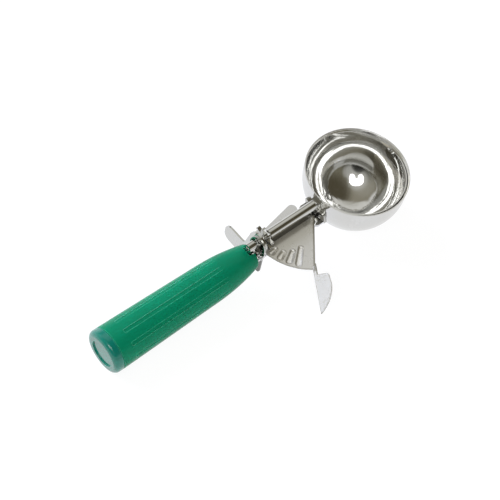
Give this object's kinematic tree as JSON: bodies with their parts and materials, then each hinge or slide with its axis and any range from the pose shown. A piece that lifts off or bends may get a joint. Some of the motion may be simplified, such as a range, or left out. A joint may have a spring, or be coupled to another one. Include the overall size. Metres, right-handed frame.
{
  "type": "ice cream scoop",
  "caption": "Ice cream scoop: a round polished steel bowl with a scraper blade that a thumb lever turns through a toothed rod, on a moulded green handle.",
  "frame": {"origin": "centre of the round seat in the handle's end", "axes": "+X along the handle to the bowl, +Z the way the bowl opens, +Y away from the thumb lever"},
  "size_m": [0.2249, 0.0886, 0.0398],
  "materials": {
    "green_plastic": "satin moulded plastic",
    "cap_plastic": "gloss moulded plastic",
    "polished_steel": "polished stainless steel",
    "bowl_steel": "mirror polished stainless steel",
    "blade_steel": "polished stainless steel",
    "satin_steel": "satin stainless steel",
    "spring_steel": "drawn spring wire"
  },
  "bodies": {
    "frame": {"handle_grip": "green_plastic", "end_cap": "cap_plastic", "frame_plate": "polished_steel", "bolster_plate": "polished_steel", "rear_bearing": "polished_steel", "shaft_channel": "polished_steel", "saddle_bracket": "polished_steel", "front_bush": "polished_steel", "bowl": "bowl_steel", "blade_pivot": "polished_steel", "lever_rivet": "polished_steel", "lever_spacer": "polished_steel", "lever_stop": "polished_steel", "spring_post": "polished_steel", "return_spring": "spring_steel"},
    "lever": {"thumb_lever": "satin_steel"},
    "scraper": {"drive_rod": "polished_steel", "rod_collar": "polished_steel", "pinion": "polished_steel", "pinion_hub": "polished_steel", "scraper_blade": "blade_steel"}
  },
  "joints": [
    {"name": "thumb_press", "type": "hinge", "parent": "frame", "child": "lever", "pos_m": [0.1514, 0, 0.0047], "axis": [0, 0, -1], "range_deg": [0, 39.2], "stiffness_Nm_per_rad": 0.3, "springref_deg": -28.65},
    {"name": "blade_sweep", "type": "hinge", "parent": "frame", "child": "scraper", "pos_m": [0.191, 0, 0.012], "axis": [1, 0, 0], "range_deg": [0, 186]}
  ],
  "couplings": [
    {"joint": "blade_sweep", "follows": "thumb_press", "ratio": 4.7368}
  ]
}
